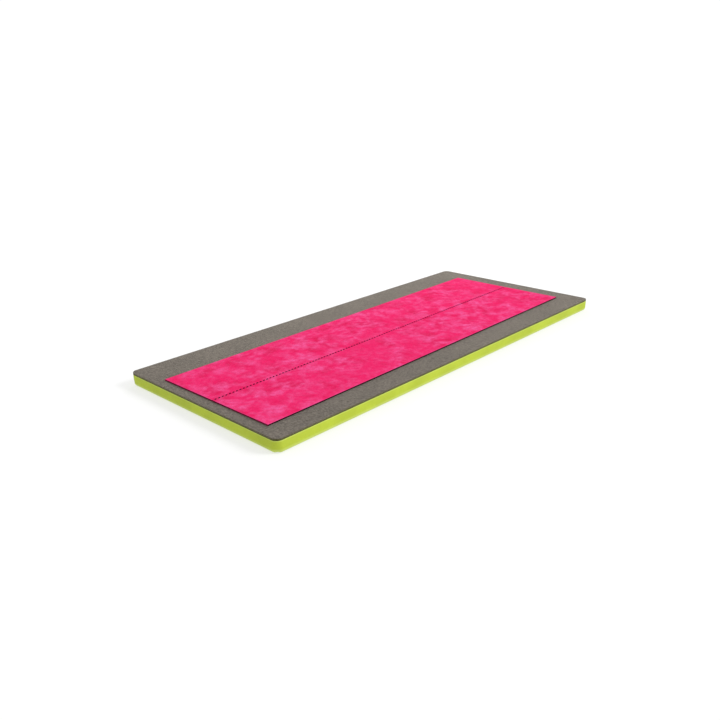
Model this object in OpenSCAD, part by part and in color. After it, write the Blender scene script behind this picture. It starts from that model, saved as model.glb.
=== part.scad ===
// Floor-level balance trainer board.
// A closed-cell foam slab is faced with felt, and carries two suede strips that are sewn
// together along a middle seam. Millimetres, +X along the board, +Y across it, +Z up.
// The origin is the middle of the underside.

/* [Board] */
// Length of the board
board_l = 1390; // [1000:10:1800]
// Width of the board
board_w = 610; // [560:5:760]
// Plan radius of the board's corners
corner_r = 18; // [16:1:80]

/* [Foam] */
// Thickness of the foam slab
foam_t = 33; // [20:1:50]
// Rounding of the slab's lower edge
foam_edge_r = 10; // [2:0.5:12]

/* [Underside] */
// Thickness of the anti-slip sheet
grip_t = 1; // [0.5:0.1:2]
// Width of bare foam left around the anti-slip sheet
grip_inset = 14; // [12:1:30]
// Length of the blank care label
label_l = 70; // [40:5:100]
// Width of the blank care label
label_w = 40; // [20:5:60]
// Thickness of the care label
label_t = 0.4; // [0.2:0.1:0.5]
// Gap between the care label and its window in the anti-slip sheet
label_gap = 3; // [1:0.5:6]

/* [Felt] */
// Thickness of the felt's backing
felt_backing_t = 1.6; // [0.6:0.1:2]
// Thickness of the felt's pile
felt_pile_t = 4; // [1:0.1:6]

/* [Strips] */
// Felt left bare at the left end
margin_left = 30; // [20:1:80]
// Felt left bare at the right end
margin_right = 66; // [20:1:80]
// Felt left bare along the front
margin_front = 76; // [40:1:120]
// Felt left bare along the back
margin_back = 119; // [40:1:140]
// Turn of the two strips on the felt, in degrees
strip_turn = 0.8; // [0:0.1:2]
// Thickness of each strip's foam pad
strip_pad_t = 2.6; // [2:0.1:5]
// Thickness of each strip's suede face
strip_suede_t = 1; // [0.6:0.1:2]
// Gap between the two strips at the seam
seam_gap = 0.8; // [0.4:0.1:2]

/* [Seam] */
// Width of the shallow valley that the stitches pull into the two faces
valley_w = 5; // [4:0.5:10]
// Depth of the valley
valley_depth = 0.5; // [0.2:0.1:0.5]
// Width of the tape under the seam
tape_w = 24; // [16:1:40]
// Thickness of the tape
tape_t = 0.6; // [0.3:0.1:1]
// Distance from one stitch to the next
stitch_pitch = 11; // [8:0.5:20]
// Length of a stitch
stitch_l = 7; // [4:0.5:10]
// Diameter of the sewing thread
thread_d = 2.4; // [1:0.1:2.4]
// Slant of a stitch across the seam
stitch_slant = 22; // [0:1:45]

/* [Glue] */
// Thickness of every glue film
glue_t = 0.4; // [0.2:0.1:1]
// Glue kept back from every edge
glue_inset = 4; // [2:0.5:10]

/* [Hidden] */
$fn = 48;

// Heights of the layers, from the floor up
foam_z = grip_t;
felt_glue_z = foam_z + foam_t;
felt_backing_z = felt_glue_z + glue_t;
felt_pile_z = felt_backing_z + felt_backing_t;
strip_glue_z = felt_pile_z + felt_pile_t;
strip_pad_z = strip_glue_z + glue_t;
strip_suede_z = strip_pad_z + strip_pad_t;
top_z = strip_suede_z + strip_suede_t;
tape_z = strip_suede_z - tape_t;

// Rectangle that the two strips fill, and the line of the seam along its middle
panel_l = board_l - margin_left - margin_right;
panel_w = board_w - margin_front - margin_back;
panel_x = (margin_left - margin_right) / 2;
seam_y = (margin_front - margin_back) / 2;
strip_w = (panel_w - seam_gap) / 2;

// Stitches lie on the valley's floor
stitch_count = floor((panel_l - stitch_l) / stitch_pitch);
stitch_z = top_z - valley_depth + thread_d / 2;

// The label's place on the underside, at the right end
label_x = board_l / 2 - 130;
label_y = -board_w / 2 + 90;

lime = "#b9cf46";
taupe = "#857c73";
dark_taupe = "#4d4842";
magenta = "#ed326e";
maroon = "#4a0a20";
charcoal = "#2f3032";

// Rectangle with round corners, drawn about the origin
module round_outline(l, w, r) {
    for (sx = [-1, 1], sy = [-1, 1])
        translate([sx * (l / 2 - r), sy * (w / 2 - r)]) circle(r);
    square([l - 2 * r, w], center = true);
    square([l, w - 2 * r], center = true);
}

// Flat sheet with the board's outline, drawn in by an inset
module board_sheet(z, t, inset = 0) {
    translate([0, 0, z]) linear_extrude(t)
        round_outline(board_l - 2 * inset, board_w - 2 * inset, max(corner_r - inset, 2));
}

// Cross-section of a slab of width w and height t, whose two lower edges are round
module slab_section(w, t, r) {
    for (s = [-1, 1]) translate([s * (w / 2 - r), r]) circle(r);
    translate([-w / 2 + r, 0]) square([w - 2 * r, t]);
    translate([-w / 2, r]) square([w, t - r]);
}

// Places children in the strips' own frame: its origin is the middle of the seam
module on_strips() {
    translate([panel_x, seam_y, 0]) rotate(strip_turn) children();
}

// Flat piece over one strip: side is -1 for the front strip and 1 for the back one
module strip_sheet(side, z, t, inset = 0) {
    on_strips() translate([0, side * (seam_gap + strip_w) / 2, z + t / 2])
        cube([panel_l - 2 * inset, strip_w - 2 * inset, t], center = true);
}

// Space for the seam tape under the two suede faces
module tape_space() {
    on_strips() translate([0, 0, tape_z + tape_t / 2])
        cube([panel_l + 2, tape_w, tape_t], center = true);
}

module label_outline(grow = 0) {
    translate([label_x, label_y])
        square([label_l + 2 * grow, label_w + 2 * grow], center = true);
}

// Grips the floor, with a window for the care label
module anti_slip_sheet() {
    color(charcoal) difference() {
        board_sheet(0, grip_t, grip_inset);
        translate([0, 0, -1]) linear_extrude(grip_t + 2) label_outline(label_gap);
    }
}

// Blank label, stuck to the foam inside the window
module care_label() {
    color("white") translate([0, 0, foam_z - label_t]) linear_extrude(label_t) label_outline();
}

// The slab: two crossed extrusions, closed by a turned piece at each corner
module foam_slab() {
    color(lime) translate([0, 0, foam_z]) {
        rotate([90, 0, 0]) linear_extrude(board_w - 2 * corner_r, center = true)
            slab_section(board_l, foam_t, foam_edge_r);
        rotate([90, 0, 90]) linear_extrude(board_l - 2 * corner_r, center = true)
            slab_section(board_w, foam_t, foam_edge_r);
        for (sx = [-1, 1], sy = [-1, 1])
            translate([sx * (board_l / 2 - corner_r), sy * (board_w / 2 - corner_r), 0])
                rotate_extrude() intersection() {
                    slab_section(2 * corner_r, foam_t, foam_edge_r);
                    square([corner_r, foam_t]);
                }
    }
}

module felt_glue() {
    color("ivory") board_sheet(felt_glue_z, glue_t, glue_inset);
}

module felt_backing() {
    color(dark_taupe) board_sheet(felt_backing_z, felt_backing_t);
}

module felt_pile() {
    color(taupe) board_sheet(felt_pile_z, felt_pile_t);
}

module strip_glue(side) {
    color("ivory") strip_sheet(side, strip_glue_z, glue_t, glue_inset);
}

module strip_pad(side) {
    color(maroon) difference() {
        strip_sheet(side, strip_pad_z, strip_pad_t);
        tape_space();
    }
}

module strip_suede(side) {
    color(magenta) difference() {
        strip_sheet(side, strip_suede_z, strip_suede_t);
        on_strips() translate([0, 0, top_z])
            cube([panel_l + 2, valley_w, 2 * valley_depth], center = true);
    }
}

module seam_tape() {
    color("dimgray") on_strips() translate([0, 0, tape_z + tape_t / 2])
        cube([panel_l, tape_w, tape_t], center = true);
}

// One row of slanted stitches that bridge the gap between the two faces
module seam_stitches() {
    color(maroon) on_strips() for (i = [0 : stitch_count - 1])
        translate([(i - (stitch_count - 1) / 2) * stitch_pitch, 0, stitch_z])
            rotate([0, 90, stitch_slant]) cylinder(h = stitch_l, d = thread_d, center = true);
}

anti_slip_sheet();
care_label();
foam_slab();
felt_glue();
felt_backing();
felt_pile();
strip_glue(-1);  // front_strip_glue
strip_glue(1);  // back_strip_glue
strip_pad(-1);  // front_strip_pad
strip_pad(1);  // back_strip_pad
strip_suede(-1);  // front_strip_suede
strip_suede(1);  // back_strip_suede
seam_tape();
seam_stitches();
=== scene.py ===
"""Floor-level balance trainer board: a foam slab with a felt top and two suede strips.

The strips are joined along a sewn middle seam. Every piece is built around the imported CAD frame,
in metres, with +X along the board, +Y across it and the floor at z = 0.
"""

import math

import bpy
import numpy as np
from mathutils import Matrix, Vector, noise


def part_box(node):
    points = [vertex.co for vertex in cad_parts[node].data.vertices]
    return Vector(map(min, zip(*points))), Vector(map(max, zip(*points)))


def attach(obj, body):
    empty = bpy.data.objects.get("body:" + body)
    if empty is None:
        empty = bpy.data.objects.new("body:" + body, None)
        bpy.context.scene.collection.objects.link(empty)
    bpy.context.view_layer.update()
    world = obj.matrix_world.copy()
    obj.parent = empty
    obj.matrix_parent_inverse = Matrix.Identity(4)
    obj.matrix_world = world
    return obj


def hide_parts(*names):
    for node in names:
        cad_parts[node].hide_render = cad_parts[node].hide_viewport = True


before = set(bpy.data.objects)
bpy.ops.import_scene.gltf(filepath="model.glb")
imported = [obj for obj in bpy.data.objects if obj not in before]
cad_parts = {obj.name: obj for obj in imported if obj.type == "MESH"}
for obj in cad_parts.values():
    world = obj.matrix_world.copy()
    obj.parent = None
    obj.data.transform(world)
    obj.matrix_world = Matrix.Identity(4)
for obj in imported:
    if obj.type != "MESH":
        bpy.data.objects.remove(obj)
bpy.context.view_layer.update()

bl_info = {
    "name": "Balance Trainer Board",
    "version": (1, 0, 0),
    "blender": (4, 5, 0),
    "location": "View3D > Sidebar > Balance Board",
    "description": "Builds a foam balance board with a felt top and two sewn suede strips",
    "category": "Add Mesh",
}

BODY = "root"
MM = 0.001

# Gap between staggered rows of dots, as a share of their pitch
ROW_GAP = math.sqrt(3) / 2

# The board's corners in order round it: side in x, side in y, and the first angle of its turn
CORNERS = ((1, -1, -90), (1, 1, 0), (-1, 1, 90), (-1, -1, 180))


def linear(red, green, blue):
    """A display colour of 0 to 255 a channel, as the linear colour that a shader takes."""
    shares = [c / 255 for c in (red, green, blue)]
    return tuple(c / 12.92 if c <= 0.04045 else ((c + 0.055) / 1.055) ** 2.4 for c in shares)


# ---------------------------------------------------------------- settings


def length(name, description, default, largest=0.2):
    """A size in metres that a user may change."""
    return bpy.props.FloatProperty(
        name=name, description=description, default=default,
        min=0, max=largest, precision=5, subtype="DISTANCE", unit="LENGTH",
    )


def colour(name, description, default):
    """A linear colour that a user may change."""
    return bpy.props.FloatVectorProperty(
        name=name, description=description, default=default, min=0, max=1, subtype="COLOR"
    )


def angle(name, description, degrees):
    """A turn that a user may change."""
    return bpy.props.FloatProperty(
        name=name, description=description, default=math.radians(degrees),
        subtype="ANGLE", unit="ROTATION",
    )


def share(name, description, default, largest=1.0):
    """A plain number that a user may change."""
    return bpy.props.FloatProperty(
        name=name, description=description, default=default, min=0, max=largest
    )


class FoamSettings(bpy.types.PropertyGroup):
    """Sizes and colours of the foam slab and of the pads under the strips."""

    lower_round: length("Lower rounding", "Radius of the slab's lower edge", 10 * MM)
    upper_round: length("Upper rounding", "Radius of the slab's upper edge", 0.8 * MM)
    bulge: length("Bulge", "How far the slab's side swells at mid height", 0.5 * MM)
    waviness: length("Waviness", "Unevenness of the cut side", 0.25 * MM)
    corner_draw: length("Corner draw", "How far the lower corners draw in", 4 * MM)
    slab_colour: colour("Slab colour", "Lime closed-cell foam", linear(172, 188, 50))
    # Painted shade: the pads' long sides take this near black, as shade at the foot of the strips
    pad_side_shade_colour: colour("Pad colour", "Sealed long sides of the strips' pads", linear(24, 0, 8))
    pad_end_colour: colour("Pad ends", "Cut ends of the strips' pads", linear(128, 18, 58))
    pad_bulge: length("Pad bulge", "How far a pad's side swells at mid height", 0.25 * MM)
    pad_round: length("Pad rounding", "How far a pad's side draws in at its edges", 0.3 * MM)
    pad_waviness: length("Pad waviness", "Unevenness of a pad's side", 0.12 * MM)


class FeltSettings(bpy.types.PropertyGroup):
    """Sizes and colours of the felt top."""

    unevenness: length("Unevenness", "Height of the felt's slow swells", 0.16 * MM)
    cut_noise: length("Cut noise", "Unevenness of the knife-cut edge", 0.25 * MM)
    rim_round: length("Rim rounding", "Radius of the felt's upper rim", 0.9 * MM)
    grid_step: length("Grid step", "Spacing of the felt's surface points", 6 * MM)
    light_fibre: colour("Light fibre", "Palest fibre in the blend", linear(117, 108, 99))
    dark_fibre: colour("Dark fibre", "Darkest fibre in the blend", linear(48, 44, 40))
    felt_cut_shade_colour: colour("Cut side", "The felt's shaded cut side", linear(76, 74, 36))
    # Painted shade: the backing's dark olive continues the shaded cut side of the felt
    backing_shade_colour: colour("Backing", "Bonded backing under the pile", linear(62, 60, 30))


class StripSettings(bpy.types.PropertyGroup):
    """Sizes and colours of the two suede strips."""

    edge_round: length("Edge rounding", "Radius of the suede's cut edge", 0.35 * MM)
    unevenness: length("Unevenness", "Height of the suede's slow swells", 0.22 * MM)
    grid_step: length("Grid step", "Spacing of points along the strip", 2 * MM)
    base_colour: colour("Base colour", "Magenta ground", linear(222, 26, 92))
    deep_colour: colour("Deep colour", "Where the nap lies away", linear(206, 16, 76))
    pale_colour: colour("Pale colour", "Where the nap is raised", linear(228, 96, 158))
    # Painted shade: the suede's cut side takes this near black, as shade at the foot of the strips
    cut_side_shade_colour: colour("Base cloth", "Dark base cloth on the cut side", linear(46, 0, 17))
    mottle_size: length("Mottle size", "Size of the pale clouds", 42 * MM)


class SeamSettings(bpy.types.PropertyGroup):
    """Sizes and colours of the stitched seam."""

    stitch_pitch: length("Stitch pitch", "Distance from one stitch to the next", 11 * MM)
    stitch_length: length("Stitch length", "Length of a stitch", 7 * MM)
    thread_width: length("Thread width", "Diameter of the thread", 2.4 * MM)
    slant: angle("Slant", "Turn of a stitch across the seam", 22)
    valley_depth: length("Valley depth", "How far the thread pulls the faces down", 0.6 * MM)
    valley_reach: length("Valley reach", "Half width of the valley", 3.6 * MM)
    pucker: length("Pucker", "Height of the puckers beside the stitches", 0.2 * MM)
    pucker_reach: length("Pucker reach", "How far a pucker runs from the seam", 6 * MM)
    thread_colour: colour("Thread", "Maroon sewing thread", linear(38, 0, 13))
    tape_colour: colour("Tape", "Woven tape under the seam", linear(58, 8, 28))
    seed: bpy.props.IntProperty(name="Seed", description="Seed of the small jitter", default=7)


class UndersideSettings(bpy.types.PropertyGroup):
    """Sizes and colours of the anti-slip sheet and the label."""

    dot_pitch: length("Dot pitch", "Distance between rubber dots in a row", 16 * MM)
    dot_radius: length("Dot radius", "Radius of a rubber dot", 3.2 * MM)
    dot_height: length("Dot height", "How far a dot stands off the sheet", 0.5 * MM)
    rim: length("Plain rim", "Width of the sheet's rim without dots", 9 * MM)
    label_gap: length("Label gap", "Gap between the label and its window", 3 * MM)
    rubber_colour: colour("Rubber", "Anti-slip rubber", linear(46, 47, 50))
    label_colour: colour("Label", "Blank woven label", linear(226, 222, 212))


class StageSettings(bpy.types.PropertyGroup):
    """Camera, lights and floor."""

    camera_place: bpy.props.FloatVectorProperty(
        name="Camera place", description="Camera location from the middle of the underside",
        default=(-1.6019, -1.4550, 0.7870), subtype="TRANSLATION", unit="LENGTH",
    )
    azimuth: angle("Azimuth", "Turn of the view; 0 looks along +Y", -45.612)
    elevation: angle("Elevation", "Angle of the view above the floor", 21.243)
    roll: angle("Roll", "Turn of the camera about its own line of sight", -1.502)
    lens: share("Lens", "Focal length in millimetres on a 36 mm sensor", 37.286, 200)
    key: share("Key", "Irradiance from the key light in watts per square metre", 1.97, 100)
    fill: share("Fill", "Power of the fill light in watts", 2.0, 1000)
    glance: share("Glance", "Power of the light behind the far corner in watts", 8.0, 1000)
    sky: share("Sky", "Strength of the even white light", 0.78, 5)


# The settings of each piece, in the operators' order
SETTINGS = {
    "balance_foam": FoamSettings,
    "balance_felt": FeltSettings,
    "balance_strip": StripSettings,
    "balance_seam": SeamSettings,
    "balance_underside": UndersideSettings,
    "balance_stage": StageSettings,
}


# ---------------------------------------------------------------- node helpers


def add(tree, kind, inputs=None, **settings):
    """Adds a node with its settings, and links or sets its inputs by name or number."""
    node = tree.nodes.new(kind)
    for key, value in settings.items():
        setattr(node, key, value)
    for key, value in (inputs or {}).items():
        if isinstance(value, bpy.types.NodeSocket):
            tree.links.new(value, node.inputs[key])
        else:
            node.inputs[key].default_value = value
    return node


def maths(tree, operation, a, b=0.0, clamp=False):
    """One Math node's result."""
    return add(tree, "ShaderNodeMath", {0: a, 1: b}, operation=operation, use_clamp=clamp).outputs[0]


def times(tree, a, b):
    """The product of two values."""
    return maths(tree, "MULTIPLY", a, b)


def plus(tree, a, b, clamp=False):
    """The sum of two values, held between 0 and 1 if it is clamped."""
    return maths(tree, "ADD", a, b, clamp)


def minus(tree, a, b):
    """The difference of two values."""
    return maths(tree, "SUBTRACT", a, b)


def axes(tree, vector):
    """The x, y and z of a vector."""
    return add(tree, "ShaderNodeSeparateXYZ", {0: vector}).outputs


def vector_of(tree, x=0.0, y=0.0, z=0.0):
    """A vector made of its x, y and z."""
    return add(tree, "ShaderNodeCombineXYZ", {0: x, 1: y, 2: z}).outputs[0]


def noise_value(tree, vector, scale, detail=2.0, roughness=0.5, distortion=0.0):
    """The value of a Noise Texture."""
    values = {
        "Vector": vector, "Scale": scale, "Detail": detail,
        "Roughness": roughness, "Distortion": distortion,
    }
    return add(tree, "ShaderNodeTexNoise", values).outputs[0]


def ramp(tree, value, low, high, to_low=0.0, to_high=1.0):
    """A smooth step of a value from low to high."""
    values = {"Value": value, "From Min": low, "From Max": high, "To Min": to_low, "To Max": to_high}
    return add(tree, "ShaderNodeMapRange", values, interpolation_type="SMOOTHSTEP").outputs[0]


def mix_colour(tree, factor, a, b, blend="MIX"):
    """One colour mixed over another. Colours are sockets or linear triples."""
    first, second = [c if isinstance(c, bpy.types.NodeSocket) else (*c, 1.0) for c in (a, b)]
    values = {0: factor, 6: first, 7: second}
    return add(tree, "ShaderNodeMix", values, data_type="RGBA", blend_type=blend).outputs[2]


def stretched(tree, vector, turn, draw):
    """Coordinates turned about z, then divided: a pattern is drawn out along the turned x."""
    values = {"Vector": vector, "Rotation": (0, 0, turn), "Scale": draw}
    return add(tree, "ShaderNodeMapping", values, vector_type="TEXTURE").outputs[0]


def in_strips(tree, place, place_of_strips):
    """Object coordinates turned into the strips' own frame."""
    values = {
        "Vector": place, "Location": place_of_strips.to_translation(),
        "Rotation": place_of_strips.to_euler(),
    }
    return add(tree, "ShaderNodeMapping", values, vector_type="TEXTURE").outputs[0]


def group(name):
    """A shared effect, built the first time that a material asks for it.

    It takes a Vector and its named values, and puts out what its builder returns."""
    if name in bpy.data.node_groups:
        return bpy.data.node_groups[name]
    build, values = GROUPS[name]
    tree = bpy.data.node_groups.new(name, "ShaderNodeTree")
    tree.interface.new_socket(name="Vector", in_out="INPUT", socket_type="NodeSocketVector")
    for label, value in values.items():
        socket = tree.interface.new_socket(name=label, in_out="INPUT", socket_type="NodeSocketFloat")
        socket.default_value = value
    results = build(tree, tree.nodes.new("NodeGroupInput").outputs)
    for label in results:
        tree.interface.new_socket(name=label, in_out="OUTPUT", socket_type="NodeSocketFloat")
    out = tree.nodes.new("NodeGroupOutput")
    for label, value in results.items():
        tree.links.new(value, out.inputs[label])
    return tree


def use(tree, name, **inputs):
    """Places a shared effect in a material and returns its outputs."""
    values = {key.replace("_", " ").title(): value for key, value in inputs.items()}
    return add(tree, "ShaderNodeGroup", values, node_tree=group(name)).outputs


# ---------------------------------------------------------------- shared effects


def build_fibre_mat(tree, entry):
    """Short fibres that lie every way, as in felt. Fibres is a tone, Height is for bump."""
    scale = maths(tree, "DIVIDE", 1.0, entry["Fibre Size"])
    drawn = vector_of(tree, entry["Draw"], 1.0, 1.0)
    layers = []
    for turn in (0.2, 1.25, 2.3):
        run = stretched(tree, entry["Vector"], turn, drawn)
        layers.append(noise_value(tree, run, scale, 1.0, 0.5, 0.4))
    top, low = [
        maths(tree, pick, maths(tree, pick, layers[0], layers[1]), layers[2])
        for pick in ("MAXIMUM", "MINIMUM")
    ]
    return {
        "Fibres": ramp(tree, plus(tree, top, low), 0.78, 1.22),
        "Height": ramp(tree, top, 0.45, 0.75),
    }


def build_clouds(tree, entry):
    """Soft blots that gather in clouds, as a brushed or dyed nap shows."""
    scale = maths(tree, "DIVIDE", 1.0, entry["Cloud Size"])

    def layer(fineness, low, high, detail, distortion):
        """Blots that are finer than a cloud by a factor, kept between two levels of the noise."""
        size = times(tree, scale, fineness)
        return ramp(tree, noise_value(tree, entry["Vector"], size, detail, 0.56, distortion), low, high)

    gathering = layer(0.32, 0.34, 0.64, 1.0, 0.4)
    cloud = layer(1.0, 0.34, 0.74, 2.0, 0.3)
    blots = layer(3.0, 0.3, 0.72, 2.0, 0.2)
    shade = layer(0.75, 0.44, 0.72, 2.0, 0.6)
    gathered = times(tree, cloud, plus(tree, times(tree, gathering, 0.6), 0.4))
    torn = times(tree, gathered, plus(tree, times(tree, blots, 0.55), 0.45))
    return {"Pale": torn, "Deep": times(tree, shade, minus(tree, 1.0, torn)), "Blots": blots}


def build_foam_cells(tree, entry):
    """Fine closed cells with thin walls. Pores is a mask, Height is for bump."""
    scale = maths(tree, "DIVIDE", 1.0, entry["Cell Size"])
    values = {"Vector": entry["Vector"], "Scale": scale}
    cells = add(tree, "ShaderNodeTexVoronoi", values, feature="F1").outputs["Distance"]
    patches = noise_value(tree, entry["Vector"], times(tree, scale, 0.12), 3.0)
    open_cells = times(tree, ramp(tree, cells, 0.5, 0.1), ramp(tree, patches, 0.35, 0.7))
    return {"Pores": open_cells, "Height": ramp(tree, cells, 0.0, 0.7)}


def build_rim(tree, entry):
    """1 at the edge of a rectangle about the pattern's origin, falling to 0 inside it."""
    parts = axes(tree, entry["Vector"])
    inside = [
        minus(tree, entry[half], maths(tree, "ABSOLUTE", part))
        for half, part in zip(("Half Length", "Half Width"), parts)
    ]
    nearest = maths(tree, "MINIMUM", *inside)
    wobble = noise_value(tree, entry["Vector"], 300.0, 2.0)
    reach = times(tree, entry["Reach"], plus(tree, wobble, 0.5))
    return {"Rim": ramp(tree, maths(tree, "DIVIDE", nearest, reach), 1.0, 0.0)}


def build_weave(tree, entry):
    """Plain weave: warp and weft that cross over and under each other."""
    turns = maths(tree, "DIVIDE", math.pi, entry["Yarn Pitch"])
    values = {0: entry["Vector"], "Scale": turns}
    scaled = add(tree, "ShaderNodeVectorMath", values, operation="SCALE").outputs[0]
    across = axes(tree, scaled)[:2]
    warp, weft = [maths(tree, "ABSOLUTE", maths(tree, "SINE", part)) for part in across]
    waves = [maths(tree, "SINE", times(tree, part, 0.5)) for part in across]
    over = ramp(tree, times(tree, *waves), -0.25, 0.25)
    height = plus(tree, times(tree, warp, over), times(tree, weft, minus(tree, 1.0, over)))
    return {"Yarns": over, "Height": height}


# Each shared effect's builder, and the values that it takes besides its Vector
GROUPS = {
    "fibre_mat": (build_fibre_mat, {"Fibre Size": MM, "Draw": 6.0}),
    "nap_clouds": (build_clouds, {"Cloud Size": 40 * MM}),
    "foam_cells": (build_foam_cells, {"Cell Size": MM}),
    "rim": (build_rim, {"Half Length": 0.5, "Half Width": 0.2, "Reach": 4 * MM}),
    "weave": (build_weave, {"Yarn Pitch": MM}),
}


# ---------------------------------------------------------------- materials


def new_material(name, roughness, specular, sheen=0.0, sheen_tint=(1.0, 1.0, 1.0), sheen_roughness=0.6):
    """A material with its Principled shader's constants: (material, tree, Object coordinates)."""
    material = bpy.data.materials.new(name)
    material.use_nodes = True
    tree = material.node_tree
    inputs = tree.nodes["Principled BSDF"].inputs
    inputs["Roughness"].default_value = roughness
    inputs["Specular IOR Level"].default_value = specular
    inputs["Sheen Weight"].default_value = sheen
    inputs["Sheen Tint"].default_value = (*sheen_tint, 1.0)
    inputs["Sheen Roughness"].default_value = sheen_roughness
    return material, tree, tree.nodes.new("ShaderNodeTexCoord").outputs["Object"]


def finish_material(material, base, height, distance, strength, roughness=None):
    """Links the colour, the bump height and a roughness that varies over the surface."""
    tree = material.node_tree
    inputs = tree.nodes["Principled BSDF"].inputs
    bump = add(tree, "ShaderNodeBump", {"Height": height, "Distance": distance, "Strength": strength})
    tree.links.new(base, inputs["Base Color"])
    tree.links.new(bump.outputs[0], inputs["Normal"])
    if roughness is not None:
        tree.links.new(roughness, inputs["Roughness"])
    return material


def tinted(triple, factor):
    """A colour made darker or paler by a factor."""
    return tuple(min(1.0, c * factor) for c in triple)


def foam_material(base, bottom, top):
    """Closed-cell foam: fine cells and a slow change of tone.

    It has painted light near its bottom and top levels: painted bounce light along the lower rounding and a
    painted highlight just under the top edge."""
    material, tree, place = new_material("lime_foam", roughness=0.72, specular=0.3)
    cells = use(tree, "foam_cells", vector=place, cell_size=0.9 * MM)
    tone = ramp(tree, noise_value(tree, place, 14.0, 3.0), 0.3, 0.7)
    skin = mix_colour(tree, tone, tinted(base, 0.93), tinted(base, 1.07))
    # Painted shade in the open pores: they are darkened towards a deeper lime
    skin = mix_colour(tree, times(tree, cells["Pores"], 0.35), skin, tinted(base, 0.62))
    level = axes(tree, place)[2]
    # Painted bounce light: the lower rounding turns paler, towards a whitish green
    lower = ramp(tree, level, bottom + 14 * MM, bottom + 4 * MM, 0.0, 0.6)
    # Painted highlight: a pale band just under the top edge
    upper = ramp(tree, level, top - 4 * MM, top - 1 * MM, 0.0, 0.3)
    paler = mix_colour(tree, 0.22, tinted(base, 1.25), (0.9, 0.95, 0.8))
    skin = mix_colour(tree, maths(tree, "MAXIMUM", lower, upper), skin, paler)
    rough = ramp(tree, cells["Pores"], 0.0, 1.0, 0.66, 0.85)
    return finish_material(
        material, skin, cells["Height"], distance=0.25 * MM, strength=0.6, roughness=rough
    )


def pad_material(settings, place_of_strips, half_length):
    """Maroon foam: its long sides are painted near black as shade at the foot of the strips, and its ends
    keep a paler maroon.
    """
    material, tree, place = new_material("maroon_pad_foam", roughness=0.85, specular=0.0)
    cells = use(tree, "foam_cells", vector=place, cell_size=0.7 * MM)
    along = maths(tree, "ABSOLUTE", axes(tree, in_strips(tree, place, place_of_strips))[0])
    end = ramp(tree, along, half_length - 0.8 * MM, half_length - 0.3 * MM)
    # Painted shade on the long sides: they take the near-black colour, and the ends keep the pad's maroon
    skin = mix_colour(tree, end, settings.pad_side_shade_colour, settings.pad_end_colour)
    # Painted shade in the open pores: they are darkened
    pores = times(tree, cells["Pores"], 0.35)
    skin = mix_colour(tree, pores, skin, (0.5, 0.5, 0.5), blend="MULTIPLY")
    return finish_material(material, skin, cells["Height"], distance=0.25 * MM, strength=0.6)


def felt_material(settings, half_length, half_width, top_level):
    """Heathered needle-punched felt, a little paler and looser at its cut edge, with painted shade on its
    cut side.
    """
    material, tree, place = new_material(
        "taupe_felt", roughness=0.9, specular=0.2,
        sheen=0.6, sheen_tint=linear(206, 198, 184), sheen_roughness=0.4,
    )
    fine = use(tree, "fibre_mat", vector=place, fibre_size=0.9 * MM, draw=7.0)
    coarse = use(tree, "fibre_mat", vector=place, fibre_size=4.5 * MM, draw=2.5)
    rim = use(tree, "rim", vector=place, half_length=half_length, half_width=half_width, reach=2.5 * MM)
    drift = ramp(tree, noise_value(tree, place, 9.0, 4.0, 0.6), 0.3, 0.7, -0.06, 0.1)
    blend = plus(tree, times(tree, fine["Fibres"], 0.45), times(tree, coarse["Fibres"], 0.42))
    blend = plus(tree, blend, drift, clamp=True)
    base = mix_colour(tree, blend, settings.dark_fibre, settings.light_fibre)
    loose = times(tree, rim["Rim"], 0.35)
    base = mix_colour(tree, loose, base, tinted(settings.light_fibre, 1.1))
    # Painted shade: the cut side below the rim is painted dark olive
    cut = ramp(tree, axes(tree, place)[2], top_level - 1.5 * MM, top_level - 0.5 * MM, 1.0, 0.0)
    cut_tones = [tinted(settings.felt_cut_shade_colour, k) for k in (0.75, 1.25)]
    base = mix_colour(tree, cut, base, mix_colour(tree, fine["Fibres"], *cut_tones))
    height = plus(tree, times(tree, fine["Height"], 0.6), coarse["Height"])
    return finish_material(material, base, height, distance=0.45 * MM, strength=0.8)


def backing_material(settings):
    """Bonded fibre backing, painted dark olive as shade along the line between the felt and the foam."""
    material, tree, place = new_material("felt_backing_fibre", roughness=0.85, specular=0.2)
    fibres = use(tree, "fibre_mat", vector=place, fibre_size=1.2 * MM, draw=5.0)
    dark = tinted(settings.backing_shade_colour, 0.7)
    base = mix_colour(tree, fibres["Fibres"], dark, settings.backing_shade_colour)
    return finish_material(material, base, fibres["Height"], distance=0.3 * MM, strength=0.7)


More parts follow.
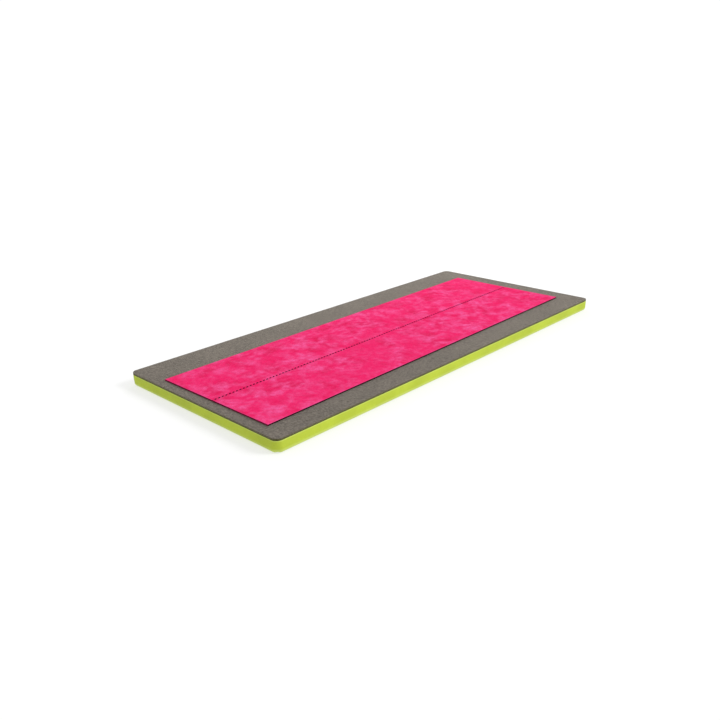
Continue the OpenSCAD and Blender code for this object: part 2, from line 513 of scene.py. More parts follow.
def suede_material(settings, place_of_strips, half_length, half_width, top_level):
    """Microfibre suede: pale clouds where the nap is raised, fine fibres and a pale cut edge.

    The cut side, below the edge's rounding, is painted near black as shade at the foot of the strip."""
    material, tree, place = new_material(
        "magenta_suede", roughness=0.95, specular=0.03, sheen=0.04, sheen_tint=settings.pale_colour
    )
    clouds = use(tree, "nap_clouds", vector=place, cloud_size=settings.mottle_size)
    fine = use(tree, "fibre_mat", vector=place, fibre_size=0.45 * MM, draw=5.0)
    nap = use(tree, "fibre_mat", vector=place, fibre_size=1.1 * MM, draw=3.0)

    def varied(fibres, low, high):
        """A factor that the fibres vary between two values."""
        return ramp(tree, fibres["Fibres"], 0.0, 1.0, low, high)

    base = mix_colour(tree, clouds["Deep"], settings.base_colour, settings.deep_colour)
    pale = plus(tree, times(tree, clouds["Pale"], 0.75), times(tree, clouds["Blots"], 0.1), clamp=True)
    pale = times(tree, pale, varied(fine, 0.85, 1.1))
    base = mix_colour(tree, pale, base, settings.pale_colour)
    grain = times(tree, varied(nap, 0.88, 1.12), varied(fine, 0.92, 1.08))
    base = mix_colour(tree, 1.0, base, grain, blend="MULTIPLY")
    about = in_strips(tree, place, place_of_strips)
    rim = use(tree, "rim", vector=about, half_length=half_length, half_width=half_width, reach=2.2 * MM)
    base = mix_colour(tree, times(tree, rim["Rim"], 0.4), base, settings.pale_colour)
    # Painted shade: the cut side below the rounding takes the near-black shade colour
    below = ramp(tree, axes(tree, place)[2], top_level - 0.45 * MM, top_level - 0.3 * MM, 1.0, 0.0)
    base = mix_colour(tree, times(tree, rim["Rim"], below), base, settings.cut_side_shade_colour)
    height = plus(tree, fine["Height"], times(tree, pale, 0.8))
    rough = ramp(tree, pale, 0.0, 1.0, 0.9, 0.98)
    return finish_material(material, base, height, distance=0.18 * MM, strength=0.7, roughness=rough)


def thread_material(settings):
    """Matt spun thread with fine filaments along it."""
    material, tree, place = new_material("maroon_thread", roughness=0.8, specular=0.0)
    run = stretched(tree, place, settings.slant, (4.0, 1.0, 1.0))
    strands = noise_value(tree, run, 2500.0, 2.0)
    colours = [tinted(settings.thread_colour, k) for k in (0.6, 1.5)]
    base = mix_colour(tree, ramp(tree, strands, 0.3, 0.7), *colours)
    return finish_material(material, base, strands, distance=0.1 * MM, strength=0.6)


def woven_material(name, base, yarn_pitch, contrast=0.25):
    """Plain woven cloth tape."""
    material, tree, place = new_material(name, roughness=0.88, specular=0.2)
    weave = use(tree, "weave", vector=place, yarn_pitch=yarn_pitch)
    wear = ramp(tree, noise_value(tree, place, 60.0, 3.0), 0.3, 0.7)
    dark, pale = tinted(base, 1 - contrast), tinted(base, 1 + contrast / 3)
    tone = mix_colour(tree, weave["Height"], dark, mix_colour(tree, weave["Yarns"], base, pale))
    tone = mix_colour(tree, times(tree, wear, 0.2), tone, tinted(base, 0.8))
    return finish_material(material, tone, weave["Height"], distance=0.12 * MM, strength=0.8)


def rubber_material(settings):
    """Anti-slip rubber with a cloth imprint and a dusting of scuffs."""
    material, tree, place = new_material("anti_slip_rubber", roughness=0.6, specular=0.35)
    weave = use(tree, "weave", vector=place, yarn_pitch=1.6 * MM)
    dust = ramp(tree, noise_value(tree, place, 26.0, 5.0, 0.65), 0.5, 0.8)
    dusty = tinted(settings.rubber_colour, 3.0)
    base = mix_colour(tree, times(tree, dust, 0.3), settings.rubber_colour, dusty)
    rough = ramp(tree, dust, 0.0, 1.0, 0.5, 0.8)
    return finish_material(
        material, base, weave["Height"], distance=0.1 * MM, strength=0.5, roughness=rough
    )


def glue_material():
    """Dried contact glue: amber film with brush marks."""
    material, tree, place = new_material("dried_glue", roughness=0.45, specular=0.5)
    marks = noise_value(tree, stretched(tree, place, 0.1, (6.0, 1.0, 1.0)), 120.0, 3.0)
    amber, milky = linear(196, 178, 128), linear(226, 212, 168)
    base = mix_colour(tree, ramp(tree, marks, 0.3, 0.7), amber, milky)
    return finish_material(material, base, marks, distance=0.2 * MM, strength=0.5)


# ---------------------------------------------------------------- mesh helpers


def corner_radius(node):
    """Plan radius of a CAD node's corners: its long sides stop that far before its ends."""
    low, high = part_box(node)
    edge = [v.co.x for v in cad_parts[node].data.vertices if high.y - v.co.y < 1e-6]
    return high.x - max(edge)


def outline(half_length, half_width, radius, step, inset=0.0, arc_steps=14):
    """Points round a rectangle with round corners, each with its outward direction.

    The number of points doesn't depend on the inset, so rings of one outline can be joined."""
    ring = []
    runs = (2 * (half_width - radius), 2 * (half_length - radius)) * 2
    for (side_x, side_y, first), run in zip(CORNERS, runs):
        centre = (side_x * (half_length - radius), side_y * (half_width - radius))
        for k in range(arc_steps + 1):
            turn = math.radians(first + 90 * k / arc_steps)
            out = (math.cos(turn), math.sin(turn))
            ring.append((*(c + (radius - inset) * o for c, o in zip(centre, out)), *out))
        steps = max(2, round(run / step))
        x, y, out_x, out_y = ring[-1]
        for k in range(1, steps):
            along = run * k / steps
            ring.append((x - out_y * along, y + out_x * along, out_x, out_y))
    return ring


def swell(x, y, z, size, seed):
    """A slow smooth unevenness from -1 to 1."""
    return noise.noise(Vector((x / size + seed, y / size - seed, z / size)))


def tube_of_rings(rings):
    """Quads that join rings of equal length, with a flat face across each end."""
    count = len(rings[0])
    points = [p for ring in rings for p in ring]
    faces = [tuple(range(count))[::-1]]
    for r in range(len(rings) - 1):
        near, far = r * count, (r + 1) * count
        for k in range(count):
            after = (k + 1) % count
            faces.append((near + k, near + after, far + after, far + k))
    last = (len(rings) - 1) * count
    faces.append(tuple(range(last, last + count)))
    return points, faces


def grid_slab(xs, ys, top, bottom):
    """A closed slab over a grid: top and bottom give a point for each x and y, by number."""
    columns, rows = len(xs), len(ys)
    points = [top(i, j) for j in range(rows) for i in range(columns)]
    faces = []
    for j in range(rows - 1):
        for i in range(columns - 1):
            a = j * columns + i
            faces.append((a, a + 1, a + columns + 1, a + columns))
    rim = [(i, 0) for i in range(columns)]
    rim += [(columns - 1, j) for j in range(1, rows)]
    rim += [(i, rows - 1) for i in range(columns - 2, -1, -1)]
    rim += [(0, j) for j in range(rows - 2, 0, -1)]
    foot = len(points)
    points += [bottom(i, j) for i, j in rim]
    for k, (i, j) in enumerate(rim):
        after = (k + 1) % len(rim)
        next_i, next_j = rim[after]
        faces.append((j * columns + i, foot + k, foot + after, next_j * columns + next_i))
    faces.append(tuple(range(foot + len(rim) - 1, foot - 1, -1)))
    return points, faces


def strips_place():
    """Where the two strips lie: the matrix from their own frame, at mid seam, to the board's."""
    lows, highs = zip(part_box("front_strip_suede"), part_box("back_strip_suede"))
    middle = [(min(p[k] for p in lows) + max(p[k] for p in highs)) / 2 for k in (0, 1)]
    corners = [v.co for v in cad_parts["front_strip_suede"].data.vertices]
    left = min(corners, key=lambda c: c.x + c.y)
    right = max(corners, key=lambda c: c.x - c.y)
    turn = math.atan2(right.y - left.y, right.x - left.x)
    return Matrix.Translation((*middle, 0.0)) @ Matrix.Rotation(turn, 4, "Z")


def own_box(node, place):
    """Low and high corners of a CAD node in the frame of a place on the board."""
    back = place.inverted()
    points = np.array([back @ v.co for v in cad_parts[node].data.vertices])
    return Vector(points.min(0)), Vector(points.max(0))


def piece(name, mesh_parts, material, slot, *replaced, place=None):
    """A finished piece of the board, standing for the CAD nodes that it replaces."""
    points, faces = mesh_parts
    mesh = bpy.data.meshes.new(name)
    mesh.from_pydata(points, [], faces)
    if place:
        mesh.transform(place)
    mesh.validate()
    mesh.materials.append(material)
    mesh.polygons.foreach_set("use_smooth", [len(f.vertices) == 4 for f in mesh.polygons])
    mesh.update()
    return settle(in_scene(name, mesh), slot, *replaced)


def in_scene(name, data):
    """A new object of the scene."""
    made = bpy.data.objects.new(name, data)
    bpy.context.scene.collection.objects.link(made)
    return made


def settle(made, slot, *replaced):
    """Rides a piece on the board and hides the CAD nodes that it stands for."""
    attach(made, BODY)
    if replaced:
        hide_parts(*replaced)
    return made


def dress_in_glue(node):
    """Gives a CAD glue film, which stays in view, its dried-glue material."""
    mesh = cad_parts[node].data
    mesh.materials.clear()
    mesh.materials.append(bpy.data.materials.get("dried_glue") or glue_material())


def quarter(radius, steps):
    """Points of a quarter circle from the flat to the upright: (distance in, distance up)."""
    angles = [math.pi / 2 * k / steps for k in range(steps + 1)]
    return [(radius * (1 - math.sin(a)), radius * (1 - math.cos(a))) for a in angles]


def rounded_off(inside, radius):
    """How far a round edge has fallen at a distance inside its outline."""
    sunk = radius - min(inside, radius)
    return radius - math.sqrt(max(0.0, radius**2 - sunk**2))


def spaced(total, step, fine):
    """Distances from 0 to total, with the given fine ones mirrored at both ends."""
    inner = np.linspace(fine[-1], total - fine[-1], max(2, round((total - 2 * fine[-1]) / step) + 1))
    return [*fine[:-1], *inner, *(total - f for f in reversed(fine[:-1]))]


# ---------------------------------------------------------------- foam slab


class BALANCE_OT_foam_slab(bpy.types.Operator):
    """Build the lime foam slab with its soft lower edge"""

    bl_idname = "balance.foam_slab"
    bl_label = "Foam Slab"

    def execute(self, context):
        sizes = context.scene.balance_foam
        low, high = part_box("foam_slab")
        radius = corner_radius("foam_slab")
        height = high.z - low.z
        cap_inset = 0.6 * radius
        profile = [(cap_inset, low.z)]
        profile += [(inn, low.z + up) for inn, up in quarter(sizes.lower_round, 8)]
        side = np.linspace(sizes.lower_round, height - sizes.upper_round, 8)
        profile += [(0.0, low.z + up) for up in side[1:-1]]
        profile += [(inn, high.z - up) for inn, up in reversed(quarter(sizes.upper_round, 3))]
        profile.append((cap_inset, high.z))
        rings = []
        for inset, z in profile:
            level = (z - low.z) / height
            belly = math.sin(math.pi * level)
            ring = []
            for x, y, out_x, out_y in outline(high.x, high.y, radius, 8 * MM, inset):
                push = sizes.bulge * belly + sizes.waviness * swell(x, y, z, size=0.06, seed=3.1) * belly
                push += 0.3 * sizes.waviness * swell(x, y, 4 * z, size=0.012, seed=8.4) * (0 < level < 1)
                push -= sizes.corner_draw * 4 * (out_x * out_y) ** 2 * (1 - level) ** 1.5
                ring.append((x + push * out_x, y + push * out_y, z))
            rings.append(ring)
        foam = foam_material(sizes.slab_colour, low.z, high.z)
        slab = piece("foam_board", tube_of_rings(rings), foam, "lime_foam", "foam_slab")
        return {"FINISHED"}


# ---------------------------------------------------------------- felt


def board_row_end(y, half_length, half_width, radius):
    """How far a row of the board's outline reaches from the middle, at a given y."""
    past = abs(y) - (half_width - radius)
    if past <= 0:
        return half_length
    return half_length - radius + math.sqrt(max(0.0, radius * radius - past * past))


class BALANCE_OT_felt(bpy.types.Operator):
    """Build the felt's pile and its bonded backing"""

    bl_idname = "balance.felt"
    bl_label = "Felt"

    def execute(self, context):
        sizes = context.scene.balance_felt
        self.build_backing(sizes)
        self.build_pile(sizes)
        dress_in_glue("felt_glue")
        return {"FINISHED"}

    def cut_edge(self, sizes, x, y, seed):
        """How far the knife strayed from the outline at one place."""
        slow, fine = swell(x, y, 0, size=0.03, seed=seed), swell(x, y, 0, size=0.006, seed=seed)
        return sizes.cut_noise * (0.7 * slow + 0.3 * fine)

    def build_backing(self, sizes):
        """Rings round the outline, drawn in halfway at the flat faces."""
        low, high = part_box("felt_backing")
        radius = corner_radius("felt_backing")
        rings = []
        for inset, z in ((radius / 2, low.z), (0, low.z), (0, high.z), (radius / 2, high.z)):
            ring = []
            for x, y, out_x, out_y in outline(high.x, high.y, radius, 6 * MM, inset):
                stray = self.cut_edge(sizes, x, y, 5.3) if inset == 0 else 0.0
                ring.append((x + stray * out_x, y + stray * out_y, z))
            rings.append(ring)
        backing = piece(
            "felt_backing_sheet", tube_of_rings(rings), backing_material(sizes),
            "felt_backing", "felt_backing",
        )

    def build_pile(self, sizes):
        """A grid over the board, each row drawn in to the outline, with a round upper rim."""
        low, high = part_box("felt_pile")
        radius = corner_radius("felt_pile")
        half_x, half_y = high.x, high.y
        corner_rows = [up for inn, up in quarter(radius, 10)]
        ys = [y - half_y for y in spaced(2 * half_y, sizes.grid_step, corner_rows)]
        rim = [inn for inn, up in reversed(quarter(sizes.rim_round, 4))]
        along = [x - half_x for x in spaced(2 * half_x, sizes.grid_step, [*rim, 4 * MM])]

        def place(i, j):
            """The plan place of a grid point, and its distance from the outline."""
            end = board_row_end(ys[j], half_x, half_y, radius)
            x, y = along[i] * end / half_x, ys[j]
            return x, y, min(end - abs(x), half_y - abs(y))

        def top(i, j):
            x, y, inside = place(i, j)
            swells = swell(x, y, 0, size=0.07, seed=1.7) + 0.5 * swell(x, y, 0, size=0.02, seed=6.2)
            return x, y, high.z + sizes.unevenness * swells - rounded_off(inside, sizes.rim_round)

        def bottom(i, j):
            return *place(i, j)[:2], low.z

        pile = piece(
            "felt_pile_sheet", grid_slab(along, ys, top, bottom),
            felt_material(sizes, half_x, half_y, high.z), "taupe_felt", "felt_pile",
        )


# ---------------------------------------------------------------- strips


class BALANCE_OT_strips(bpy.types.Operator):
    """Build the two suede faces and the foam pads under them"""

    bl_idname = "balance.strips"
    bl_label = "Suede Strips"

    def execute(self, context):
        strip = context.scene.balance_strip
        seam = context.scene.balance_seam
        foam = context.scene.balance_foam
        self.place = strips_place()
        far_corner = own_box("back_strip_suede", self.place)[1]
        suede = suede_material(strip, self.place, *far_corner)
        pad_foam = pad_material(foam, self.place, far_corner.x)
        for side, place in ((-1, "front"), (1, "back")):
            self.build_face(side, place, strip, seam, suede)
            self.build_pad(side, place, foam, pad_foam)
            dress_in_glue(f"{place}_strip_glue")
        return {"FINISHED"}

    def build_face(self, side, place, strip, seam, suede):
        """A grid over one strip, finer near the seam and at the cut edges."""
        low, high = own_box(f"{place}_strip_suede", self.place)
        rim = [inn for inn, up in reversed(quarter(strip.edge_round, 4))]
        xs = [low.x + x for x in spaced(high.x - low.x, strip.grid_step, [*rim, 2 * MM])]
        width = high.y - low.y
        # Distances from the seam, closest where the valley is steep
        near_seam = [d * MM for d in (0, 0.25, 0.6, 1.1, 1.8, 2.6, 3.5, 4.6, 6, 7.8, 10, 13)]
        inner = np.linspace(16 * MM, width - 6 * MM, 24)
        from_seam = [*near_seam, *inner, *(width - r for r in (3 * MM, *reversed(rim)))]
        edge_y = high.y if side < 0 else low.y
        ys = sorted(edge_y + side * d for d in from_seam)
        thinnest = 0.15 * MM

        def lift(x, y):
            """Height of the face above the CAD level: slow swells, seam valley and puckers."""
            away = abs(y)
            beat = math.cos(2 * math.pi * x / seam.stitch_pitch)
            uneven = 1 + 0.5 * swell(x, y, 0, size=0.03, seed=2.6 + side)
            valley = math.exp(-((away / seam.valley_reach) ** 2)) * (0.85 + 0.15 * beat)
            pucker = math.exp(-away / seam.pucker_reach) * beat * uneven
            slow = swell(x, y, 0, size=0.09, seed=4.4 * side) + 0.4 * swell(x, y, 0, size=0.025, seed=9.1)
            return strip.unevenness * slow - seam.valley_depth * valley - seam.pucker * pucker

        def top(i, j):
            x, y = xs[i], ys[j]
            outer = high.y - y if side > 0 else y - low.y
            fallen = rounded_off(min(x - low.x, high.x - x, outer), strip.edge_round)
            return x, y, max(low.z + thinnest, high.z + lift(x, y) - fallen)

        face = piece(
            f"{place}_suede_face", grid_slab(xs, ys, top, lambda i, j: (xs[i], ys[j], low.z)),
            suede, "magenta_suede", f"{place}_strip_suede", place=self.place,
        )

    def build_pad(self, side, place, sizes, pad_foam):
        """One cross-section, with the rebate for the tape, run along the strip."""
        low, high = own_box(f"{place}_strip_pad", self.place)
        tape_low, tape_high = own_box("seam_tape", self.place)
        outer, inner, rebate = low.y, high.y, tape_low.y
        if side > 0:
            outer, inner, rebate = high.y, low.y, tape_high.y
        section = [(inner, low.z)]
        # Shares of the pad's height at which its outer side has a point
        for level in (0, 0.12, 0.35, 0.65, 0.88, 1):
            out = sizes.pad_bulge * math.sin(math.pi * level) - sizes.pad_round * (2 * level - 1) ** 4
            section.append((outer + side * out, low.z + level * (high.z - low.z)))
        section += [(rebate, high.z), (rebate, tape_low.z), (inner, tape_low.z)]
        if side < 0:
            section.reverse()
        steps = round((high.x - low.x) / (6 * MM))
        rings = []
        for k in range(steps + 1):
            x = low.x + (high.x - low.x) * k / steps
            rings.append([
                (x, y + sizes.pad_waviness * swell(x, y, z, size=0.02, seed=7.7) * (abs(y - outer) < MM), z)
                for y, z in section
            ])
        pad = piece(
            f"{place}_pad", tube_of_rings(rings), pad_foam, "dark_pad_foam", f"{place}_strip_pad",
            place=self.place,
        )


# ---------------------------------------------------------------- seam


def new_geometry_tree(name, **sockets):
    """A Geometry Nodes tree with named inputs of each kind: (tree, its inputs)."""
    tree = bpy.data.node_groups.new(name, "GeometryNodeTree")
    tree.interface.new_socket(name="Geometry", in_out="OUTPUT", socket_type="NodeSocketGeometry")
    for kind, labels in sockets.items():
        for label in labels:
            tree.interface.new_socket(name=label, in_out="INPUT", socket_type=f"NodeSocket{kind}")
    return tree, tree.nodes.new("NodeGroupInput").outputs


def finish_copies(tree, points, copied, material, **inputs):
    """Ends a tree with a copy on each point, all made real, smooth and painted."""
    values = {"Points": points.outputs[0], "Instance": copied.outputs[0], **inputs}
    copies = add(tree, "GeometryNodeInstanceOnPoints", values)
    real = add(tree, "GeometryNodeRealizeInstances", {"Geometry": copies.outputs[0]})
    smooth = add(tree, "GeometryNodeSetShadeSmooth", {"Geometry": real.outputs[0]})
    values = {"Geometry": smooth.outputs[0], "Material": material}
    painted = add(tree, "GeometryNodeSetMaterial", values)
    add(tree, "NodeGroupOutput", {0: painted.outputs[0]})
    return tree


def random_vector(tree, lowest, highest, seed):
    """A random vector for each point."""
    values = {"Min": lowest, "Max": highest, "Seed": seed}
    return add(tree, "FunctionNodeRandomValue", values, data_type="FLOAT_VECTOR").outputs["Value"]


def grown_mesh(name, tree, values):
    """Runs a Geometry Nodes tree with its inputs set, and returns the result as a plain object."""
    made = in_scene(name, bpy.data.meshes.new(name))
    modifier = made.modifiers.new(name, "NODES")
    modifier.node_group = tree
    for item in tree.interface.items_tree:
        if item.in_out == "INPUT":
            modifier[item.identifier] = values[item.name]
    result = made.evaluated_get(bpy.context.evaluated_depsgraph_get())
    mesh = bpy.data.meshes.new_from_object(result)
    made.modifiers.remove(modifier)
    made.data = mesh
    mesh.name = name
    return made


def build_stitch_tree():
    """A row of slanted stitches of twisted thread, whose ends dive into the cloth."""
    tree, entry = new_geometry_tree(
        "stitch_row", Int=("Count", "Seed"), Vector=("Start",), Material=("Material",),
        Float=("Pitch", "Length", "Thread Radius", "Dive", "Slant"),
    )
    row = add(tree, "GeometryNodeMeshLine", {
        "Count": entry["Count"], "Start Location": entry["Start"],
        "Offset": vector_of(tree, entry["Pitch"]),
    })
    half = times(tree, entry["Length"], 0.5)
    ends = {"Start": vector_of(tree, times(tree, half, -1.0)), "End": vector_of(tree, half)}
    line = add(tree, "GeometryNodeCurvePrimitiveLine", ends)
    path = add(tree, "GeometryNodeResampleCurve", {"Curve": line.outputs[0], "Count": 10})
    along = add(tree, "GeometryNodeSplineParameter").outputs["Factor"]
    centred = times(tree, minus(tree, along, 0.5), 2.0)
    drop = times(tree, maths(tree, "POWER", maths(tree, "ABSOLUTE", centred), 4.0), entry["Dive"])
    sunk = vector_of(tree, z=times(tree, drop, -1.0))
    bent = add(tree, "GeometryNodeSetPosition", {"Geometry": path.outputs[0], "Offset": sunk})
    twist = times(tree, along, 3 * math.pi)
    twisted = add(tree, "GeometryNodeSetCurveTilt", {"Curve": bent.outputs[0], "Tilt": twist})
    values = {"Resolution": 8, "Radius": entry["Thread Radius"]}
    ring = add(tree, "GeometryNodeCurvePrimitiveCircle", values)
    values = {"Geometry": ring.outputs[0], "Scale": (1.0, 0.68, 1.0)}
    flat_ring = add(tree, "GeometryNodeTransform", values)
    thread = add(tree, "GeometryNodeCurveToMesh", {
        "Curve": twisted.outputs[0], "Profile Curve": flat_ring.outputs[0], "Fill Caps": True,
    })
    wobble = random_vector(tree, (-0.06, -0.04, -0.12), (0.06, 0.04, 0.12), entry["Seed"])
    slanted = vector_of(tree, z=entry["Slant"])
    turn = add(tree, "ShaderNodeVectorMath", {0: wobble, 1: slanted}, operation="ADD").outputs[0]
    scale = random_vector(tree, (0.94, 0.92, 0.95), (1.05, 1.08, 1.05), entry["Seed"])
    return finish_copies(tree, row, thread, entry["Material"], Rotation=turn, Scale=scale)


class BALANCE_OT_seam(bpy.types.Operator):
    """Build the row of stitches and the tape under the seam"""

    bl_idname = "balance.seam"
    bl_label = "Seam"

    def execute(self, context):
        sizes = context.scene.balance_seam
        self.place = strips_place()
        self.build_stitches(sizes)
        self.build_tape(sizes)
        return {"FINISHED"}

    def build_stitches(self, sizes):
        """The row of stitches, grown by its tree in the strips' own frame."""
        low, high = own_box("seam_stitches", self.place)
        face_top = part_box("front_strip_suede")[1].z
        radius = sizes.thread_width / 2
        count = round((high.x - low.x - sizes.stitch_length) / sizes.stitch_pitch) + 1
        thread_level = face_top - sizes.valley_depth + 0.85 * radius
        start = (-(count - 1) / 2 * sizes.stitch_pitch, 0.0, thread_level)
        stitches = grown_mesh("seam_stitches_row", build_stitch_tree(), {
            "Count": count, "Pitch": sizes.stitch_pitch, "Start": start,
            "Length": sizes.stitch_length, "Thread Radius": radius,
            "Dive": 2.2 * radius, "Slant": sizes.slant,
            "Seed": sizes.seed, "Material": thread_material(sizes),
        })
        stitches.data.transform(self.place)
        settle(stitches, "sewing_thread", "seam_stitches")

    def build_tape(self, sizes):
        """The tape under the seam: it sags a little and its edges fall away."""
        low, high = own_box("seam_tape", self.place)
        xs = list(np.linspace(low.x, high.x, round((high.x - low.x) / (4 * MM)) + 1))
        ys = list(np.linspace(low.y, high.y, 13))
        middle, half_width = (low.y + high.y) / 2, (high.y - low.y) / 2
        clear, sag, edge_fall = 0.1 * MM, 0.08 * MM, 0.15 * MM

        def top(i, j):
            edge = edge_fall * (abs(ys[j] - middle) / half_width) ** 8
            return xs[i], ys[j], high.z - clear + sag * swell(xs[i], ys[j], 0, size=0.02, seed=3.8) - edge

        cloth = woven_material("seam_tape_cloth", sizes.tape_colour, 1.1 * MM)
        tape = piece(
            "seam_tape_strip", grid_slab(xs, ys, top, lambda i, j: (xs[i], ys[j], low.z)),
            cloth, "tape_cloth", "seam_tape", place=self.place,
        )


# ---------------------------------------------------------------- underside


def build_dot_tree():
    """Low rubber domes in staggered rows, kept off the sheet's rim and off the label's window."""
    tree, entry = new_geometry_tree(
        "rubber_dots", Int=("Columns", "Rows"), Vector=("Window Centre",), Material=("Material",),
        Float=("Pitch", "Half Length", "Half Width", "Corner Radius", "Window Half Length",
               "Window Half Width", "Dot Radius", "Dot Height", "Level"),
    )
    row_gap = times(tree, entry["Pitch"], ROW_GAP)
    wide = times(tree, minus(tree, entry["Columns"], 1.0), entry["Pitch"])
    deep = times(tree, minus(tree, entry["Rows"], 1.0), row_gap)
    field = add(tree, "GeometryNodeMeshGrid", {
        "Size X": wide, "Size Y": deep, "Vertices X": entry["Columns"], "Vertices Y": entry["Rows"],
    })
    where = axes(tree, add(tree, "GeometryNodeInputPosition").outputs[0])
    from_first = plus(tree, where[1], times(tree, deep, 0.5))
    number = maths(tree, "ROUND", maths(tree, "DIVIDE", from_first, row_gap))
    stagger = minus(tree, maths(tree, "MODULO", number, 2.0), 0.5)
    shift = times(tree, stagger, times(tree, entry["Pitch"], 0.5))
    moved = vector_of(tree, shift, 0.0, entry["Level"])
    rows = add(tree, "GeometryNodeSetPosition", {"Geometry": field.outputs[0], "Offset": moved})

    corner = entry["Corner Radius"]
    squares = []
    for axis, half in zip(where, ("Half Length", "Half Width")):
        past = minus(tree, maths(tree, "ABSOLUTE", axis), minus(tree, entry[half], corner))
        past = maths(tree, "MAXIMUM", past, 0.0)
        squares.append(times(tree, past, past))
    outside = maths(tree, "GREATER_THAN", maths(tree, "SQRT", plus(tree, *squares)), corner)
    window = axes(tree, entry["Window Centre"])
    within = []
    for axis, middle, half in zip(where, window, ("Window Half Length", "Window Half Width")):
        away = maths(tree, "ABSOLUTE", minus(tree, axis, middle))
        within.append(maths(tree, "LESS_THAN", away, entry[half]))
    unwanted = maths(tree, "MAXIMUM", outside, times(tree, *within))
    values = {"Geometry": rows.outputs[0], "Selection": unwanted}
    kept = add(tree, "GeometryNodeDeleteGeometry", values)
    values = {"Segments": 8, "Rings": 4, "Radius": entry["Dot Radius"]}
    ball = add(tree, "GeometryNodeMeshUVSphere", values)
    flatness = maths(tree, "DIVIDE", entry["Dot Height"], entry["Dot Radius"])
    values = {"Geometry": ball.outputs[0], "Scale": vector_of(tree, 1.0, 1.0, flatness)}
    dome = add(tree, "GeometryNodeTransform", values)
    return finish_copies(tree, kept, dome, entry["Material"])


class BALANCE_OT_underside(bpy.types.Operator):
    """Build the dotted anti-slip sheet and the blank label in its window"""

    bl_idname = "balance.underside"
    bl_label = "Underside"

    def execute(self, context):
        sizes = context.scene.balance_underside
        rubber = rubber_material(sizes)
        label_low, label_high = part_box("care_label")
        gap = sizes.label_gap
        window = (label_low.x - gap, label_low.y - gap, label_high.x + gap, label_high.y + gap)
        dots = self.build_dots(sizes, rubber, window)
        self.build_sheet(sizes, rubber, window, dots)
        self.build_label(sizes, label_low, label_high)
        return {"FINISHED"}

    def build_dots(self, sizes, rubber, window):
        """The rubber dots, grown by their tree over the whole sheet."""
        low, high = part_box("anti_slip_sheet")
        left, bottom, right, top = window
        dots = grown_mesh("anti_slip_dots", build_dot_tree(), {
            "Columns": int(2 * high.x / sizes.dot_pitch),
            "Rows": int(2 * high.y / (sizes.dot_pitch * ROW_GAP)),
            "Pitch": sizes.dot_pitch,
            "Half Length": high.x - sizes.rim,
            "Half Width": high.y - sizes.rim,
            "Corner Radius": max(MM, corner_radius("anti_slip_sheet") - sizes.rim),
            "Window Centre": ((left + right) / 2, (bottom + top) / 2, 0.0),
            "Window Half Length": (right - left) / 2 + sizes.rim,
            "Window Half Width": (top - bottom) / 2 + sizes.rim,
            "Dot Radius": sizes.dot_radius,
            "Dot Height": sizes.dot_height,
            "Level": low.z + sizes.dot_height,
            "Material": rubber,
        })
        return settle(dots, "anti_slip_rubber")

    def build_sheet(self, sizes, rubber, window, dots):
        """One ring of points round the sheet, joined point by point to a ring round its window."""
        low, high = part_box("anti_slip_sheet")
        radius = corner_radius("anti_slip_sheet")
        face = low.z + sizes.dot_height
        ring = [(x, y) for x, y, _, _ in outline(high.x, high.y, radius, 12 * MM)]
        hole = [self.window_point(x, y, window) for x, y in ring]
        count = len(ring)
        points = [(*p, z) for z in (face, high.z) for loop in (ring, hole) for p in loop]
        outer, inner, outer_up, inner_up = (n * count for n in range(4))
        faces = []
        for k in range(count):
            after = (k + 1) % count
            faces.append((outer + k, inner + k, inner + after, outer + after))
            faces.append((outer_up + after, inner_up + after, inner_up + k, outer_up + k))
            faces.append((outer + k, outer + after, outer_up + after, outer_up + k))
            faces.append((inner + after, inner + k, inner_up + k, inner_up + after))
        sheet = piece("anti_slip_backing", (points, faces), rubber, "anti_slip_rubber", "anti_slip_sheet")
        sheet.data.polygons.foreach_set("use_smooth", [False] * len(sheet.data.polygons))

    def window_point(self, x, y, window):
        """The point of the window's edge that lies between its middle and an outer point."""
        left, bottom, right, top = window
        middle_x, middle_y = (left + right) / 2, (bottom + top) / 2
        away_x, away_y = x - middle_x, y - middle_y
        reach = max(abs(away_x) / (right - middle_x), abs(away_y) / (top - middle_y))
        return middle_x + away_x / reach, middle_y + away_y / reach

    def build_label(self, sizes, low, high):
        """The blank label, whose free face points down and whose hem is a little thinner."""
        xs = list(np.linspace(low.x, high.x, 36))
        ys = list(np.linspace(low.y, high.y, 22))
        clear, curl, hem = 0.06 * MM, 0.05 * MM, 0.1 * MM

        def bottom(i, j):
            at_edge = min(i, j, len(xs) - 1 - i, len(ys) - 1 - j) == 0
            lifted = clear + curl * swell(xs[i], ys[j], 0, size=0.015, seed=2.2) + hem * at_edge
            return xs[i], ys[j], low.z + lifted

        points, faces = grid_slab(xs, ys, bottom, lambda i, j: (xs[i], ys[j], high.z))
        faces = [tuple(reversed(f)) for f in faces]
        cloth = woven_material("label_cloth", sizes.label_colour, 0.5 * MM, 0.12)
        label = piece("care_label_blank", (points, faces), cloth, "label_cloth", "care_label")


# ---------------------------------------------------------------- stage


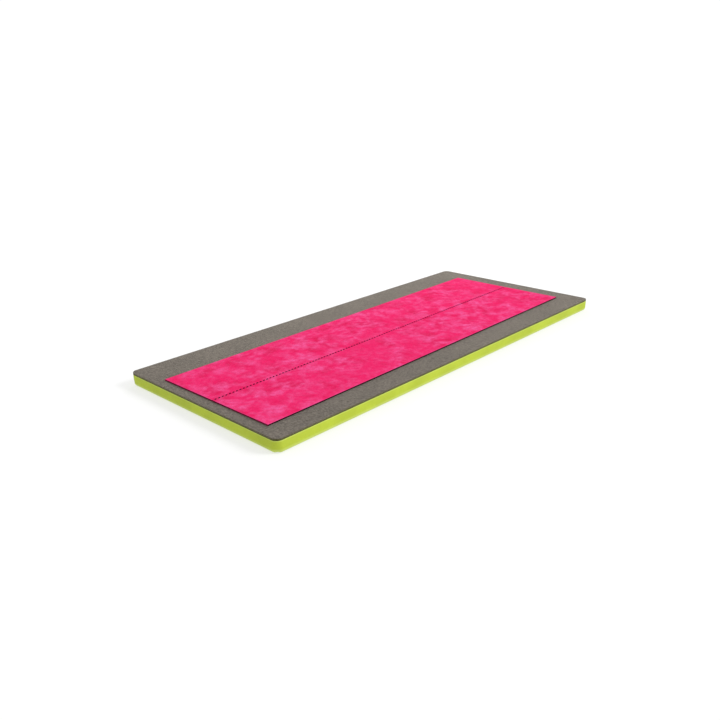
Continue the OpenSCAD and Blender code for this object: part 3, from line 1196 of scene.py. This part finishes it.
class BALANCE_OT_stage(bpy.types.Operator):
    """Build the floor, the lights and the camera"""

    bl_idname = "balance.stage"
    bl_label = "Stage"

    def execute(self, context):
        settings = context.scene.balance_stage
        self.build_floor()
        self.build_lights(settings)
        self.build_sky(context, settings)
        self.build_camera(context, settings)
        context.scene.view_settings.view_transform = "Standard"
        return {"FINISHED"}

    def build_floor(self):
        """A wide floor that glows a little, so that it looks white and its shadows stay pale."""
        reach = 30.0
        corners = [(sx * reach, sy * reach, 0.0) for sx, sy in ((-1, -1), (1, -1), (1, 1), (-1, 1))]
        mesh = bpy.data.meshes.new("floor")
        mesh.from_pydata(corners, [], [(0, 1, 2, 3)])
        floor = in_scene("floor", mesh)
        material = bpy.data.materials.new("studio_floor")
        material.use_nodes = True
        inputs = material.node_tree.nodes["Principled BSDF"].inputs
        inputs["Base Color"].default_value = (0.35, 0.35, 0.35, 1.0)
        inputs["Roughness"].default_value = 1.0
        inputs["Specular IOR Level"].default_value = 0.0
        inputs["Emission Color"].default_value = (1.0, 1.0, 1.0, 1.0)
        inputs["Emission Strength"].default_value = 0.62
        mesh.materials.append(material)

    def build_lights(self, settings):
        """A broad sun at the front right, a weak fill at the left, and a glancing light behind."""
        lights = (
            ("key", "SUN", (1.5, -2.0, 1.75), math.radians(22), settings.key),
            ("fill", "AREA", (-2.4, -0.6, 2.2), 2.0, settings.fill),
            ("glance", "AREA", (1.3, 1.1, 0.9), 0.8, settings.glance),
        )
        for name, kind, place, size, power in lights:
            light = bpy.data.lights.new(name, kind)
            light.energy = power
            if kind == "SUN":
                light.angle = size
            else:
                light.size = size
            turned = Vector(place).to_track_quat("Z", "Y").to_matrix().to_4x4()
            in_scene(name, light).matrix_world = Matrix.Translation(place) @ turned

    def build_sky(self, context, settings):
        """Even soft light, with a pure white backdrop behind the floor."""
        world = bpy.data.worlds.new("studio")
        world.use_nodes = True
        tree = world.node_tree
        seen = add(tree, "ShaderNodeBackground", {"Color": (1, 1, 1, 1), "Strength": 1.05})
        lit = add(tree, "ShaderNodeBackground", {"Color": (1, 1, 1, 1), "Strength": settings.sky})
        camera_ray = add(tree, "ShaderNodeLightPath").outputs["Is Camera Ray"]
        shaders = {0: camera_ray, 1: lit.outputs[0], 2: seen.outputs[0]}
        both = add(tree, "ShaderNodeMixShader", shaders)
        tree.links.new(both.outputs[0], tree.nodes["World Output"].inputs["Surface"])
        context.scene.world = world

    def build_camera(self, context, settings):
        """The camera, turned about the board, raised and then rolled about its line of sight."""
        data = bpy.data.cameras.new("camera")
        data.sensor_width = 36.0
        data.lens = settings.lens
        camera = in_scene("camera", data)
        a, e = settings.azimuth, settings.elevation
        back = Vector((math.sin(a) * math.cos(e), -math.cos(a) * math.cos(e), math.sin(e)))
        turned = back.to_track_quat("Z", "Y").to_matrix() @ Matrix.Rotation(settings.roll, 3, "Z")
        camera.matrix_world = Matrix.Translation(settings.camera_place) @ turned.to_4x4()
        context.scene.camera = camera


# ---------------------------------------------------------------- panel and registration


OPERATORS = (
    BALANCE_OT_foam_slab,
    BALANCE_OT_felt,
    BALANCE_OT_strips,
    BALANCE_OT_seam,
    BALANCE_OT_underside,
    BALANCE_OT_stage,
)


class BALANCE_PT_board(bpy.types.Panel):
    """Lists the pieces of the board and their settings"""

    bl_idname = "BALANCE_PT_board"
    bl_label = "Balance Board"
    bl_space_type = "VIEW_3D"
    bl_region_type = "UI"
    bl_category = "Balance Board"

    def draw(self, context):
        for operator, name in zip(OPERATORS, SETTINGS):
            box = self.layout.box()
            box.operator(operator.bl_idname)
            settings = getattr(context.scene, name)
            for key in settings.bl_rna.properties.keys():
                if key not in ("rna_type", "name"):
                    box.prop(settings, key)


def register():
    """Registers the settings, the operators and the panel."""
    for name, kind in SETTINGS.items():
        bpy.utils.register_class(kind)
        setattr(bpy.types.Scene, name, bpy.props.PointerProperty(type=kind))
    for kind in (*OPERATORS, BALANCE_PT_board):
        bpy.utils.register_class(kind)


def unregister():
    """Removes all that register() added."""
    for kind in reversed((*OPERATORS, BALANCE_PT_board)):
        bpy.utils.unregister_class(kind)
    for name, kind in reversed(SETTINGS.items()):
        delattr(bpy.types.Scene, name)
        bpy.utils.unregister_class(kind)


def main():
    """Registers the add-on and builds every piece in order."""
    register()
    bpy.ops.balance.foam_slab()
    bpy.ops.balance.felt()
    bpy.ops.balance.strips()
    bpy.ops.balance.seam()
    bpy.ops.balance.underside()
    bpy.ops.balance.stage()


if __name__ == "__main__":
    main()
